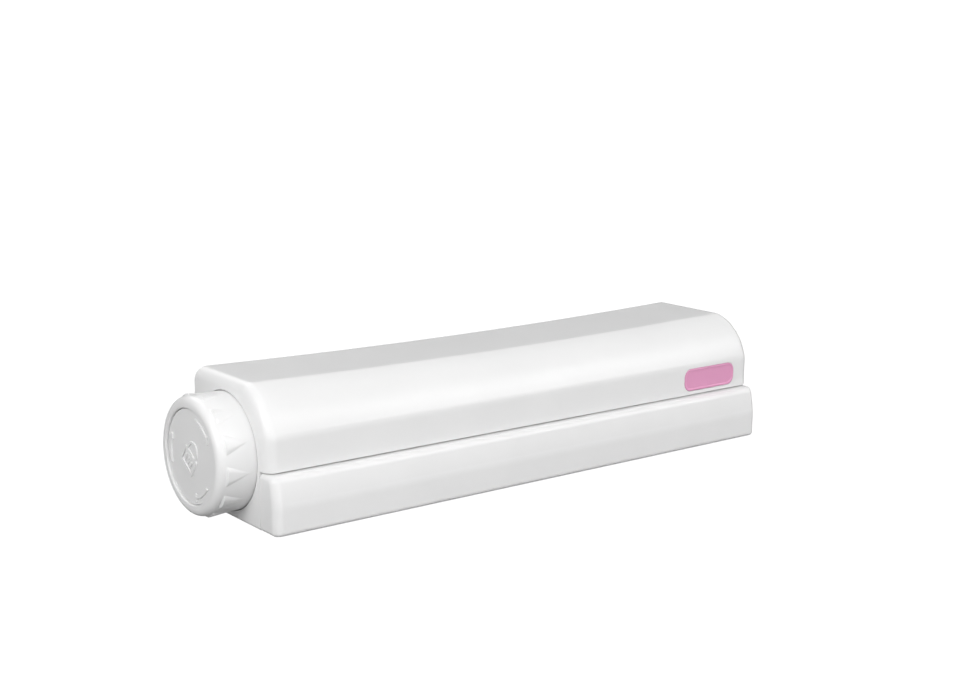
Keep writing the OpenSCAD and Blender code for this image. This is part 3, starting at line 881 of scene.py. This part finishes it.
def paint_cad_nodes():
    """Gives every CAD node the material of its slot, with crisp edges."""
    for part in frame["record"]["subparts"]:
        obj = frame["nodes"][part["node"]]
        obj.data.materials.clear()
        obj.data.materials.append(MATERIALS[part["material_slot"]])
        obj.data.set_sharp_from_angle(angle=math.radians(30))


# ---- Studio ----

STUDIO_CENTRE = Vector((0, -0.04, 0))
TABLE_GREY = 0.30
TABLE_SIZE, TABLE_DROP = 4, 0.015       # metres; the drop lets light reach the underside
FLOOR_SIZE, FLOOR_DROP = 60, 0.4
BACKDROP_R = 25
SKY = ((-1, 0.33), (-0.25, 0.33), (0, 0.13), (0.3, 0.13), (0.6, 0.42))     # (height, grey)


def add_softbox(name, turn, height, power, size=0.8, distance=1.6):
    """Square light, power in watts, that faces the object and that the camera doesn't see.

    turn is from straight in front towards the knob, and height above level, in degrees.
    """
    light = bpy.data.lights.new(name, "AREA")
    light.shape = "SQUARE"
    light.size = size
    light.energy = power
    t, h = math.radians(turn), math.radians(height)
    towards = Vector((-math.sin(t) * math.cos(h), -math.cos(t) * math.cos(h), math.sin(h)))
    obj = bpy.data.objects.new(name, light)
    obj.location = STUDIO_CENTRE + towards * distance
    obj.rotation_euler = towards.to_track_quat("Z", "Y").to_euler()
    obj.visible_camera = False
    bpy.context.scene.collection.objects.link(obj)


def make_sky():
    """Soft light from all round: dim near the horizon, brighter from above and below."""
    world = bpy.data.worlds.new("studio")
    world.use_nodes = True
    nodes, links = world.node_tree.nodes, world.node_tree.links
    place = nodes.new("ShaderNodeTexCoord")
    axes = nodes.new("ShaderNodeSeparateXYZ")
    height = nodes.new("ShaderNodeMapRange")
    height.inputs["From Min"].default_value = -1
    sky = nodes.new("ShaderNodeValToRGB")
    stops = sky.color_ramp.elements
    while len(stops) < len(SKY):
        stops.new(0.5)
    for stop, (z, grey) in zip(stops, SKY):
        stop.position = (z + 1) / 2
        stop.color = (grey, grey, grey, 1)
    links.new(place.outputs["Generated"], axes.inputs["Vector"])
    links.new(axes.outputs["Z"], height.inputs["Value"])
    links.new(height.outputs["Result"], sky.inputs["Fac"])
    links.new(sky.outputs["Color"], nodes["Background"].inputs["Color"])
    bpy.context.scene.world = world


def make_white_stage(name, obj):
    """A stage piece that the camera sees as plain white, and that doesn't light the object."""
    obj.name = name
    material, _, _, shader = new_material(name)
    shader.inputs["Base Color"].default_value = (0.9, 0.9, 0.9, 1)
    shader.inputs["Roughness"].default_value = 0.9
    shader.inputs["Emission Color"].default_value = (1, 1, 1, 1)
    shader.inputs["Emission Strength"].default_value = 1.0
    obj.data.materials.append(material)
    obj.visible_diffuse = False
    obj.visible_glossy = False
    obj.visible_shadow = False


def make_table():
    """Grey surface just under the object, unseen by the camera, that dims light from below."""
    bpy.ops.mesh.primitive_plane_add(size=TABLE_SIZE,
                                     location=(0, 0, BOTTOM * MM - TABLE_DROP))
    table = bpy.context.object
    table.name = "table"
    material, _, _, shader = new_material("table")
    shader.inputs["Base Color"].default_value = (TABLE_GREY, TABLE_GREY, TABLE_GREY, 1)
    shader.inputs["Roughness"].default_value = 1
    shader.inputs["Specular IOR Level"].default_value = 0
    table.data.materials.append(material)
    table.visible_camera = False


def make_studio():
    """Soft lights, a table that the camera doesn't see, and a plain white floor and backdrop."""
    bpy.context.scene.view_settings.view_transform = "Standard"
    make_sky()
    add_softbox("key softbox", 65, 30, 15.0)
    add_softbox("front softbox", 0, 15, 5.5, size=1.5)
    add_softbox("far softbox", 0, 15, 135, size=5, distance=8)
    add_softbox("right softbox", -45, 30, 6.4)
    add_softbox("back softbox", 180, 45, 6.0)
    make_table()
    bpy.ops.mesh.primitive_plane_add(size=FLOOR_SIZE,
                                     location=(0, 0, BOTTOM * MM - FLOOR_DROP))
    make_white_stage("floor", bpy.context.object)
    bpy.ops.mesh.primitive_uv_sphere_add(radius=BACKDROP_R)
    make_white_stage("backdrop", bpy.context.object)


def make_camera():
    """Camera at the photograph's viewpoint."""
    data = bpy.data.cameras.new("camera")
    data.lens = 59.2
    data.sensor_width = 36
    data.shift_x, data.shift_y = 0.0458, -0.0024
    camera = bpy.data.objects.new("camera", data)
    camera.location = (-0.5664, -0.7411, 0.2197)
    camera.rotation_euler = [math.radians(a) for a in (78.46, -0.28, -36.66)]
    bpy.context.scene.collection.objects.link(camera)
    bpy.context.scene.camera = camera


make_camera()
make_studio()
paint_cad_nodes()
make_case()
make_badge()
make_bar()
make_knob_cap()
make_knob_disc()
make_knob_spring()
for i in CORDS:
    make_cord(i)
    make_cord_guide(i)
softened("rear_cover", "case", "white_plastic", 0.4)
softened("wall_bracket", "case", "steel", 0.3)
softened("bar_frame", "pull_bar", "white_plastic", 0.3)
